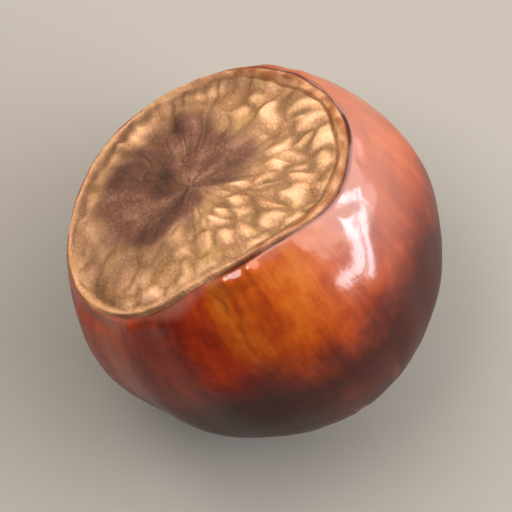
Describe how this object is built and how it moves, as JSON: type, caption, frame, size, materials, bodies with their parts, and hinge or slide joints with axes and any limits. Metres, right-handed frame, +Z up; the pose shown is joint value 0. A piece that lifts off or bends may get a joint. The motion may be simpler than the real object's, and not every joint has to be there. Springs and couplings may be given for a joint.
{
  "type": "hazelnut",
  "caption": "Whole hazelnut in its shell, lying on its side: round glossy brown shell with faint ribs, broad pale corky scar and small blunt tip.",
  "frame": {"origin": "middle of the bounding box's underside, on the table that the nut rests on", "axes": "+Z up; the nut's own axis lies in the XZ plane, with the scar facing -X and 37 degrees up, and the tip pointing +X and down; the nut's broad way runs along Y"},
  "size_m": [0.0208, 0.0212, 0.02],
  "materials": {
    "shell": "gloss"
  },
  "bodies": {
    "root": {"hazelnut": "shell"}
  },
  "joints": []
}
